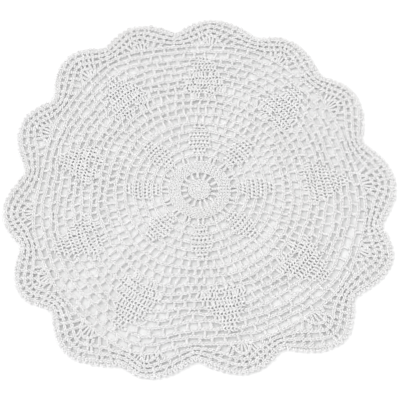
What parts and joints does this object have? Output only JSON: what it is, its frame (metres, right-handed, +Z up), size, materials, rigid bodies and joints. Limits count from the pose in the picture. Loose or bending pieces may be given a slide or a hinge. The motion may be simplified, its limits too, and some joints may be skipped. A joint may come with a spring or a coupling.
{
  "type": "round lace tablecloth",
  "caption": "Round crocheted cotton lace tablecloth lying flat, with a petalled rosette, leaves set in an open net and a scalloped fan border.",
  "frame": {"origin": "middle of the rosette, on the underside that lies on the table", "axes": "+Z up out of the cloth's face, -Y towards the viewer of the picture, +X to the viewer's right"},
  "size_m": [0.603, 0.6026, 0.004],
  "materials": {
    "white_cotton": "soft matt crochet cotton, white, twisted and lightly mercerised"
  },
  "bodies": {
    "root": {"lace_cloth": "white_cotton"}
  },
  "joints": []
}
